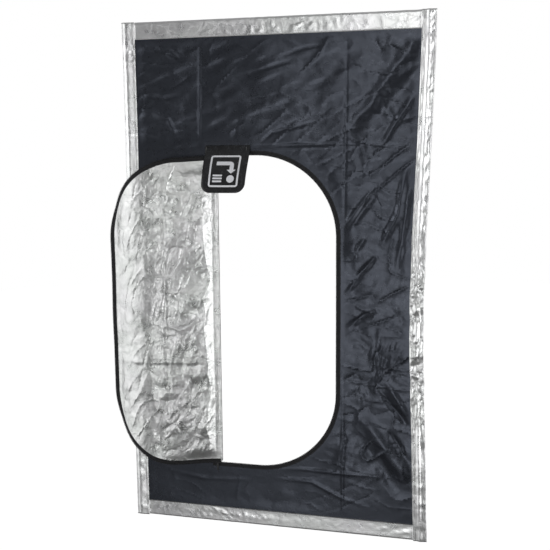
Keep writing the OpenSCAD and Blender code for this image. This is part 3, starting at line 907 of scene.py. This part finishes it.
def stretches(r0, r1, *offsets):
    """For each stretch of the door's edge between r0 and r1, its points at each offset.
    Stretches of neighbouring pieces share their end points."""
    base = even_track(TAPE_IN)[:, 0]
    rows = [even_track(o) for o in offsets]
    half = len(base) // 2
    first = int(np.argmin(np.abs(base[:half] - r0)))
    last = int(np.argmin(np.abs(base[:half] - r1))) if r1 < DOOR_W - TAPE_W else None
    if last is None:
        spans = [range(first, len(base) - first)]
    else:
        spans = [range(first, last + 1), range(len(base) - 1 - last, len(base) - first)]
    return [[row[list(span)] for row in rows] for span in spans]


ZIP_START = 3 * MM
DOOR_SLOTS = {
    "cloth": "black_cloth", "lining": "silver_film", "tape": "zip_tape",
    "binding": "zip_tape", "coil": "zip_coil", "thread": "zip_tape",
}
DOOR_LOOKS = {"lining": "silver_lining", "thread": "black_thread"}

for number, r0, r1, body_a, body_b, bend in DOOR:
    flat, faces = cut(door_outline(r0, r1, CLOTH_GAP, DOOR_STEP), [], DOOR_STEP)
    made = {
        "cloth": slab(f"door_black_{number}", flat, faces, on_door, 0, SHEET_T),
        "lining": slab(f"door_silver_{number}", flat, faces, on_door, SHEET_T, CLOTH_T),
    }
    zip_from = max(r0, ZIP_START)
    tape, binding, coil, thread = Bands(), Bands(), [], []
    for rows in stretches(zip_from, r1, *across(TAPE_IN, TAPE_W, 5)):
        tape.add(rows)
    for rows in stretches(zip_from, r1, *across(BINDING_IN, TAPE_W, 4)):
        binding.add(rows)
    for (row,) in stretches(zip_from, r1, COIL_MID):
        coil.append(coil_along(row, on_door, -1))
    for rows in stretches(zip_from, r1, *SEAMS):
        thread += rows
    made["tape"] = slab(f"door_zip_tape_{number}", tape.flat, tape.faces, on_door, -TAPE_T, -0.02 * MM)
    depths = (CLOTH_T + 0.02 * MM, CLOTH_T + BINDING_T)
    made["binding"] = slab(f"door_binding_{number}", binding.flat, binding.faces, on_door, *depths)
    made["coil"] = add_mesh(f"door_coil_{number}", *joined(coil))
    made["thread"] = add_mesh(f"door_stitching_{number}", *stitches(thread, on_door, CLOTH_T + BINDING_T))
    for kind, obj in made.items():
        stand_for = [] if kind == "thread" else [f"door_strip_{number}_{kind}"]
        if (number, kind) == (1, "lining"):
            stand_for.append("hinge_fold")
        dress(obj, DOOR_SLOTS[kind], nodes=stand_for, look=DOOR_LOOKS.get(kind))
        if bend is None:
            start, end = (HINGE_X, FRONT, 0), (HINGE_X, FRONT - 2 * FOLD_R - 0.4 * MM, 0)
        else:
            spots = (on_door(np.array(r), np.array(MID_Z), 0.0) for r in bend)
            start, end = ((float(x), float(y), 0.0) for x, y, _ in spots)
        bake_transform(obj)

# ---------------------------------------------------------------- rails' hems

FILM_T = 0.8 * MM
RAIL_R = 8.4 * MM
HEM_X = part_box("top_hem")[1].x


def hem_section(r, foot_back):
    """Outline of the top hem round its rail, from its foot up the front, over, and down the back: (depth, height)."""
    foot = HEM_FOOT_HI
    reach = math.hypot(foot_back, foot)
    tangent = math.atan2(foot, foot_back) + math.acos(r / reach)
    front = [(-r, foot - foot * n / 14) for n in range(15)]
    arc = [(r * math.cos(a), r * math.sin(a)) for a in np.linspace(math.pi, tangent, 22)[1:]]
    y, z = arc[-1]
    back = [(y + (foot_back - y) * n / 12, z + (foot - z) * n / 12) for n in range(1, 13)]
    return front + arc + back


def hem(name, node, upside_down):
    """The film of a hem: creased outside, plain inside, and the bottom one turned over."""
    outer = hem_section(RAIL_R + FILM_T, FRONT + CLOTH_T + FILM_T)
    inner = hem_section(RAIL_R, FRONT + CLOTH_T)
    x = np.linspace(-HEM_X, HEM_X, 200)
    rows, flats = [], []
    girth = np.concatenate([[0], np.cumsum([math.dist(a, b) for a, b in zip(outer[:-1], outer[1:])])])
    seed, busiest = (20, -0.25) if upside_down else (10, 0.02)
    busy = 0.22 + 0.9 * np.exp(-(((x - busiest) / 0.24) ** 2)) + 0.25 * smooth(x, 0.1, 0.5)
    for k, (y, z) in enumerate(outer):
        t = np.full_like(x, girth[k])
        free = math.sin(math.pi * min(girth[k] / 0.055, 1.0)) if y < -0.5 * RAIL_R and z < 0 else 0.35
        push = busy * free * (1.5 * MM * crumple(x, t + 0.3, 0.05, seed) + 0.8 * MM * crumple(x, t, 0.022, seed + 1))
        push = push + 0.9 * MM * free * hills[9](x / 0.2, t / 0.05 + seed)
        push = push + 0.5 * MM * math.exp(-(((girth[k] - 0.0045) / 0.002) ** 2))
        push = np.maximum(push, -0.5 * MM)
        size = math.hypot(y, z)
        ny, nz = (y / size, z / size) if z > 0 else (math.copysign(1.0, y), 0.0)
        rows.append(np.stack([x, y + ny * push, z + nz * push], axis=1))
        flats.append(np.stack([x, t], axis=1))
    for k, (y, z) in enumerate(inner):
        rows.append(np.stack([x, np.full_like(x, y), np.full_like(x, z)], axis=1))
        flats.append(np.stack([x, np.full_like(x, girth[k])], axis=1))
    count, n = len(outer), len(x)
    points = np.concatenate(rows)
    if upside_down:
        points[:, 2] = BOTTOM_RAIL_Z - points[:, 2]
    faces = grid_faces(count, n, 0, flip=True) + grid_faces(count, n, count * n)
    edges = [(a, a + n) for a in range(0, (count - 1) * n, n)]                   # left end, then right end
    edges += [(b + n - 1, a + n - 1) for a, b in edges]
    edges += [(j + 1, j) for j in range(n - 1)]                                  # front foot, then back foot
    edges += [((count - 1) * n + j, (count - 1) * n + j + 1) for j in range(n - 1)]
    faces += [(a, b, b + count * n, a + count * n) for a, b in edges]
    if upside_down:
        faces = [f[::-1] for f in faces]
    obj = add_mesh(name, points, faces, np.concatenate(flats))
    dress(obj, "silver_film", "panel", [node])


hem("top_hem_film", "top_hem", False)
hem("bottom_hem_film", "bottom_hem", True)


def on_hem(x, z, d):
    """A point on the flat front of a hem, d behind its face."""
    return np.stack([x, FRONT - FILM_T + d - 0.5 * MM, z], axis=-1)


heights = (HEM_FOOT_HI + 4.5 * MM, HEM_FOOT_LO - 4.5 * MM)
seams = [spaced((-HEM_X + 3 * MM, z), (HEM_X - 3 * MM, z), 0.05) for z in heights]
hem_thread = add_mesh("hem_stitching", *stitches(seams, on_hem, 0, pitch=6 * MM, length=4.4 * MM))
dress(hem_thread, "silver_film", "panel", look="pale_thread")

# ---------------------------------------------------------------- side borders

HOOK_W = 16 * MM
FLAP_X = HALF_W - HOOK_W


def border_profile(x, z, right):
    """How far the border's front stands out over its seam at distance x from the middle."""
    t = x - SEAM_X
    roll = crumple(t, z, 0.045, 13 if right else 14)
    fine = crumple(t, z, 0.02, 15 if right else 16)
    up = z - BOTTOM
    if right:
        loose = smooth(up, 0.35, 0.6) * smooth(1.75 - up, 0, 0.35)
        smooth_part = smooth(up, 1.05, 1.15) * smooth(1.5 - up, 0, 0.08)
        busy = 0.35 + 1.1 * loose * (1 - 0.8 * smooth_part) + 0.5 * smooth(up, 1.7, 1.95)
        crest = 4.5 * MM * np.exp(-(((t - 0.027) / 0.006) ** 2)) + 2.2 * MM * np.exp(-(((t - 0.006) / 0.004) ** 2))
        crest = crest + 3.0 * MM * smooth(t, 0.012, 0.022) * (1 - smooth(t, 0.036, 0.05))
    else:
        busy = 0.12 + 0.25 * np.abs(hills[10](z / 0.2, z * 0 + 3))
        crest = 6.0 * MM * smooth(t, 0.002, 0.034) * (1 - smooth(t, 0.035, 0.05))
        crest = crest + 0.8 * MM * np.exp(-(((t - 0.005) / 0.003) ** 2))
        busy = busy + 0.5 * np.exp(-(((up - 1.87) / 0.05) ** 2))
    held = smooth(t, 0.0, 0.008)
    swell = 0.75 + 0.35 * hills[11](z / 0.33, z * 0 + (1 if right else 6))
    return crest * swell + held * busy * (2.4 * MM * roll + 1.0 * MM * fine) + 0.3 * MM * held


def border(name, sign, nodes, body):
    """A side border: its front over the seam and wing, round the edge, and the flap folded back."""
    right = sign > 0
    t_front = np.concatenate([[0.0, 0.001], np.linspace(0.0025, HALF_W - SEAM_X, 20)])
    front_x = SEAM_X + t_front
    t_back = np.linspace(HALF_W, FLAP_X, 6)
    section = [(x, "front", -FILM_T) for x in front_x]
    section += [(x, "back", FILM_T) for x in t_back]
    section += [(x, "back", 0.0) for x in (FLAP_X, FLAP_X - 2 * MM)]
    section += [(x, "front", 0.0) for x in np.linspace(FLAP_X - 4 * MM, SEAM_X, 12)]
    zs = np.linspace(BOTTOM, TOP, round((TOP - BOTTOM) / (5 * MM)) + 1)
    rows, flats, girth, last = [], [], 0.0, section[0][0]
    for x, side, d in section:
        at_seam = relief(np.full_like(zs, min(x, SEAM_X) * sign), zs)
        raised = border_profile(np.full_like(zs, x), zs, right)
        if side == "back":
            raised = raised * 0.92
        if x > HALF_W - 1.5 * MM and side == "front":
            raised = raised * 0.96
        girth, last = girth + abs(x - last), x
        xx = sign * x - bow(np.full_like(zs, sign * x), zs)
        rows.append(np.stack([xx, FRONT + d - at_seam - raised, zs], axis=1))
        flats.append(np.stack([np.full_like(zs, girth), zs], axis=1))
    n, count = len(zs), len(section)
    faces = []
    for i in range(count):
        j = (i + 1) % count
        for k in range(n - 1):
            f = (i * n + k, j * n + k, j * n + k + 1, i * n + k + 1)
            faces.append(f if right else f[::-1])
    bottom = [i * n for i in range(count)]
    top = [i * n + n - 1 for i in range(count)]
    faces.append(tuple(bottom[::-1] if right else bottom))
    faces.append(tuple(top if right else top[::-1]))
    obj = add_mesh(name, np.concatenate(rows), faces, np.concatenate(flats))
    dress(obj, "silver_film", nodes=nodes)
    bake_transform(obj)


border("left_side_border", -1, ["left_seam_strip", "left_wing"], "left_border")
border("right_side_border", 1, ["right_seam_strip", "right_wing"], "right_border")


def strip_tape(name, slot, body, node, rule):
    """A hook or loop tape that follows the cloth it is sewn on."""
    lo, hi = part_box(node)
    xs = np.linspace(lo.x, hi.x, 6)
    zs = np.linspace(lo.z, hi.z, round((hi.z - lo.z) / (6 * MM)))
    flat = [(x, z) for x in xs for z in zs]
    obj = slab(name, flat, grid_faces(len(xs), len(zs), flip=True), rule, 0, hi.y - lo.y)
    dress(obj, slot, body, [node])


def on_lining(x, z, d):
    """A point d behind the panel's lining."""
    return on_panel(x, z, CLOTH_T + 0.03 * MM + d)


def on_wing_back(x, z, d):
    """A point d behind the back of a side wing."""
    sign = np.sign(x)
    seam = relief(sign * SEAM_X * np.ones_like(x), z)
    raised = border_profile(np.abs(x), z, bool(sign.flat[0] > 0)) * 0.92
    return np.stack([x - bow(x, z), FRONT + FILM_T + 0.03 * MM + d - seam - raised, z], axis=-1)


for kind, rule in (("loop", on_lining), ("hook", on_wing_back)):
    for side in ("left", "right"):
        body = "panel" if kind == "loop" else f"{side}_border"
        strip_tape(f"{side}_{kind}_strip", f"{kind}_tape", body, f"{side}_{kind}_tape", rule)

# ---------------------------------------------------------------- zip garage

GARAGE_W, GARAGE_LEN, GARAGE_R = 178 * MM, 200 * MM, 36 * MM
GARAGE_TILT = math.radians(30)
GARAGE_Y = FRONT - GARAGE_T / 2
GARAGE_STEP = 3.2 * MM


def garage_bend(down):
    """How far the flap leans out, at a distance down from its seam."""
    return GARAGE_TILT * (0.55 + 0.55 * smooth(down, 0.0, 0.05) - 0.4 * smooth(down, 0.06, 0.19))


run_s = np.linspace(0, 0.21, 211)
run_y = run_up(np.sin(garage_bend(run_s)), 0.001)
run_z = run_up(np.cos(garage_bend(run_s)), 0.001)


def on_garage(x, s, d):
    """A point of the flat flap: x across, s down from the seam (negative), d its depth behind the mid-plane."""
    down, side = -s, x / (GARAGE_W / 2)
    bend = garage_bend(down)
    narrow = 1 - 0.035 * smooth(down, 0.03, 0.2)
    curl = 2.5 * MM * side**2 * smooth(down, 0.06, 0.2)
    curl = curl - 1.5 * MM * hills[9](x / 0.09 + 4, s / 0.12) * smooth(down, 0.03, 0.1)
    y = GARAGE_Y - np.interp(down, run_s, run_y) + np.cos(bend) * (d + curl)
    z = GARAGE_Z - np.interp(down, run_s, run_z) + np.sin(bend) * (d + curl)
    return np.stack([GARAGE_X + x * narrow, y, z], axis=-1)


def rounded(x0, x1, z0, z1, radius, step, corners=(1, 1, 1, 1)):
    """Outline of a rectangle with round corners, from its lower left one anticlockwise."""
    points = []
    spots = [(x0, z0, math.pi), (x1, z0, 1.5 * math.pi), (x1, z1, 0), (x0, z1, 0.5 * math.pi)]
    for (x, z, begin), wanted in zip(spots, corners):
        if not wanted:
            points.append((x, z))
            continue
        cx, cz = x + (radius if x == x0 else -radius), z + (radius if z == z0 else -radius)
        turns = max(4, round(radius * math.pi / 2 / step))
        angles = [begin + math.pi / 2 * n / turns for n in range(turns + 1)]
        points += [(cx + radius * math.cos(a), cz + radius * math.sin(a)) for a in angles]
    return outline(points, step)


def soften(obj, width):
    """Rounds a piece's sharp edges."""
    bevel = obj.modifiers.new("soft edge", "BEVEL")
    bevel.width, bevel.segments, bevel.limit_method, bevel.angle_limit = width, 2, "ANGLE", math.radians(50)


half = GARAGE_W / 2
flap_edge = rounded(-half, half, -GARAGE_LEN, -1.0 * MM, GARAGE_R, GARAGE_STEP, (1, 1, 0, 0))
flat, faces = cut(flap_edge, [], GARAGE_STEP)
flap = slab("zip_garage_flap", flat, faces, on_garage, -GARAGE_T / 2, GARAGE_T / 2)
soften(flap, 0.7 * MM)
dress(flap, "garage_rubber", "garage", ["zip_garage"])

BEAD_FROM, BEAD_TO, BEAD_H, BEAD_STEP = 2.5 * MM, 15 * MM, 2.2 * MM, 1.9 * MM     # the bead's edges, from the flap's


def on_bead(x, s, d):
    """The raised round bead along the flap's edge: its face swells out, its foot stays on the flap."""
    qx, qs = np.abs(x) - (half - GARAGE_R), -s - (GARAGE_LEN - GARAGE_R)
    inset = GARAGE_R - np.hypot(np.maximum(qx, 0), np.maximum(qs, 0)) - np.minimum(np.maximum(qx, qs), 0)
    swell = np.sin(math.pi * np.clip((inset - BEAD_FROM) / (BEAD_TO - BEAD_FROM), 0, 1)) ** 0.75
    return on_garage(x, s, d - BEAD_H * swell * (d < -GARAGE_T / 2))


def bead_loop(inset, top):
    """The flap's edge, inset, as far up as top."""
    sides = (-half + inset, half - inset, -GARAGE_LEN + inset, top)
    return rounded(*sides, GARAGE_R - inset, BEAD_STEP, (1, 1, 0, 0))


FLAP_FACE, SUNK = -GARAGE_T / 2, -GARAGE_T / 2 + 0.1 * MM       # raised parts start just under the flap's face
flat, faces = cut(bead_loop(BEAD_FROM, -8 * MM), [bead_loop(BEAD_TO, -20 * MM)], BEAD_STEP)
welt = slab("zip_garage_rim", flat, faces, on_bead, FLAP_FACE - 0.05 * MM, SUNK)
dress(welt, "garage_rubber", "garage")

PRINT_D = FLAP_FACE - 0.8 * MM
FRAME_W, FRAME_H, FRAME_BAR, FRAME_R, FRAME_STEP = 120 * MM, 134 * MM, 7 * MM, 10 * MM, 2.5 * MM
frame_mid = -GARAGE_LEN + 24 * MM + FRAME_H / 2


def frame_loop(inset):
    """The light frame's outer edge, inset."""
    w, h = FRAME_W / 2 - inset, FRAME_H / 2 - inset
    return rounded(-w, w, frame_mid - h, frame_mid + h, FRAME_R - inset, FRAME_STEP)


flat, faces = cut(frame_loop(0), [frame_loop(FRAME_BAR)], FRAME_STEP)
garage_frame = slab("zip_garage_frame", flat, faces, on_garage, PRINT_D, SUNK)
dress(garage_frame, "garage_print", "garage", ["garage_frame"])


def circle(cx, cz, r, step=2.2 * MM):
    n = max(12, round(2 * math.pi * r / step))
    return [(cx + r * math.cos(2 * math.pi * k / n), cz + r * math.sin(2 * math.pi * k / n)) for k in range(n)]


# A plain sign of our own, in millimetres from the frame's middle: an arrow that turns down to a dot, and three bars
SIGN_STEP = 2.4 * MM
ARROW = [
    (-34, 24), (20, 24), (20, 4), (10, 4), (28, -12), (46, 4), (36, 4), (36, 24),
    (34.8, 30.1), (31.3, 35.3), (26.1, 38.8), (20, 40), (-34, 40),
]
loops = [outline([(x * MM, frame_mid + z * MM) for x, z in ARROW], SIGN_STEP)]
loops.append(circle(28 * MM, frame_mid - 34 * MM, 15 * MM))
for z in (-20, -32, -44):
    low, high = frame_mid + (z - 3.5) * MM, frame_mid + (z + 3.5) * MM
    loops.append(rounded(-44 * MM, -6 * MM, low, high, 2.2 * MM, 2.0 * MM))
sign_flat, sign_faces = joined([cut(loop, [], SIGN_STEP) for loop in loops])
sign = slab("zip_garage_pictogram", sign_flat, sign_faces, on_garage, PRINT_D, SUNK)
dress(sign, "garage_print", "garage", ["garage_pictogram"])
for obj in (flap, welt, garage_frame, sign):
    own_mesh(obj)

band = rounded(GARAGE_X - half, GARAGE_X + half, GARAGE_Z + 0.8 * MM, GARAGE_Z + 15 * MM, 3 * MM, 3 * MM)
flat, faces = cut(band, [], 3.0 * MM)
seam_band = slab("garage_seam_band", flat, faces, on_panel, -GARAGE_T, -0.05 * MM)
soften(seam_band, 0.6 * MM)
dress(seam_band, "garage_rubber", "panel", ["garage_seam_strip"], look="black_cloth")
ends = GARAGE_X - half + 4 * MM, GARAGE_X + half - 4 * MM
lines = [spaced((ends[0], z), (ends[1], z), 0.02) for z in (GARAGE_Z + 4 * MM, GARAGE_Z + 11.5 * MM)]
garage_thread = add_mesh("garage_stitching", *stitches(lines, on_panel, -GARAGE_T))
dress(garage_thread, "garage_rubber", "panel", look="black_thread")

# ---------------------------------------------------------------- floor, light and camera


def area_light(name, place, aim, size, power):
    data = bpy.data.lights.new(name, "AREA")
    data.shape, (data.size, data.size_y), data.energy = "RECTANGLE", size, power
    obj = bpy.data.objects.new(name, data)
    bpy.context.scene.collection.objects.link(obj)
    obj.location = place
    obj.rotation_mode = "QUATERNION"
    obj.rotation_quaternion = (Vector(aim) - Vector(place)).to_track_quat("-Z", "Y")
    obj.visible_camera = False


area_light("front softbox", (0.6, -4.6, 0.4), (0.1, 0, -0.9), (1.2, 1.4), 6)
area_light("left softbox", (-3.4, -1.6, 0.5), (-0.4, 0, -0.9), (1.0, 2.2), 5)
area_light("right softbox", (3.2, -2.6, 0.8), (0.3, 0, -0.9), (1.2, 2.0), 4)
area_light("back softbox", (0.6, 4.2, 0.8), (0, 0, -1.0), (2.6, 2.2), 22)

world = bpy.data.worlds.new("studio")
bpy.context.scene.world = world
world.use_nodes = True
world.node_tree.nodes.clear()


def world_node(kind, inputs=(), **settings):
    return add_node(world.node_tree, kind, inputs, **settings)


def glow(azimuth, elevation, inner, outer, strength):
    """A soft patch of light on the studio's wall, full inside the inner radius and gone outside the outer one.
    All angles are in degrees. Azimuth 0 is straight in front of the panel, and positive is to the right."""
    a, e, inner, outer = (math.radians(angle) for angle in (azimuth, elevation, inner, outer))
    toward = (math.sin(a) * math.cos(e), -math.cos(a) * math.cos(e), math.sin(e))
    dot = world_node("ShaderNodeVectorMath", {0: direction, 1: toward}, operation="DOT_PRODUCT")
    facing_it = dot.outputs["Value"]
    inputs = {"Value": facing_it, "From Min": math.cos(outer), "From Max": math.cos(inner), "To Max": strength}
    return world_node("ShaderNodeMapRange", inputs, interpolation_type="SMOOTHSTEP").outputs[0]


direction = world_node("ShaderNodeTexCoord").outputs["Generated"]
BASE_LIGHT = 0.075
GLOWS = [
    (-5, -11, 2, 12, 2.7), (-4, 12, 3, 10, 1.9), (-14, -32, 4, 12, 0.5), (-68, 0, 16, 42, 1.15),
    (44, -8, 10, 23, 2.3), (0, 68, 10, 50, 0.3), (170, 10, 30, 80, 0.35),
]
total = BASE_LIGHT
for patch in GLOWS:
    total = world_node("ShaderNodeMath", {0: glow(*patch), 1: total}, operation="ADD").outputs[0]
seen = world_node("ShaderNodeBackground", {0: (1, 1, 1, 1), 1: 1.0})
studio = world_node("ShaderNodeBackground", {0: (0.98, 0.985, 1.0, 1), 1: total})
path = world_node("ShaderNodeLightPath")
mix = world_node("ShaderNodeMixShader", {0: path.outputs["Is Camera Ray"], 1: studio.outputs[0], 2: seen.outputs[0]})
world_node("ShaderNodeOutputWorld", {0: mix.outputs[0]})

FLOOR_Z, FLOOR_R, FLOOR_BACK, FLOOR_SIDES = BOTTOM - 0.12, 6.5, 1.0, 64
angles = [2 * math.pi * k / FLOOR_SIDES for k in range(FLOOR_SIDES)]
ring = [(FLOOR_R * math.cos(a), FLOOR_BACK + FLOOR_R * math.sin(a), FLOOR_Z) for a in angles]
floor = add_mesh("studio_floor", ring, [tuple(range(FLOOR_SIDES))], shade=False)
p = Paint("pale_floor", Base_Color=(0.2, 0.2, 0.2, 1), Roughness=0.8, Emission_Strength=0.94)
p.shader.inputs["Emission Color"].default_value = (1, 1, 1, 1)
p.wire("Roughness", p.span(p.noise(p.place(cut_cloth=False), 6, 3), 0.7, 0.9))
floor.data.materials.append(p.material)
floor.visible_glossy = False

# The camera's place and its own axes, solved from the panel's four corners
CAMERA_AT = (0.771, -3.1344, -0.4728)
RIGHT_WAY, UP_WAY = Vector((0.97135, 0.23751, -0.00815)), Vector((-0.02764, 0.14700, 0.98875))
VIEW_WAY = Vector((-0.23604, 0.96020, -0.14935))
camera_data = bpy.data.cameras.new("camera")
camera_data.lens, camera_data.sensor_width = 55.11, 36
camera_data.clip_start, camera_data.clip_end = 0.05, 60
camera = bpy.data.objects.new("camera", camera_data)
bpy.context.scene.collection.objects.link(camera)
axes = Matrix((RIGHT_WAY, UP_WAY, -VIEW_WAY)).transposed().to_4x4()
camera.matrix_world = Matrix.Translation(CAMERA_AT) @ axes
bpy.context.scene.camera = camera
bpy.context.scene.view_settings.view_transform = "Standard"
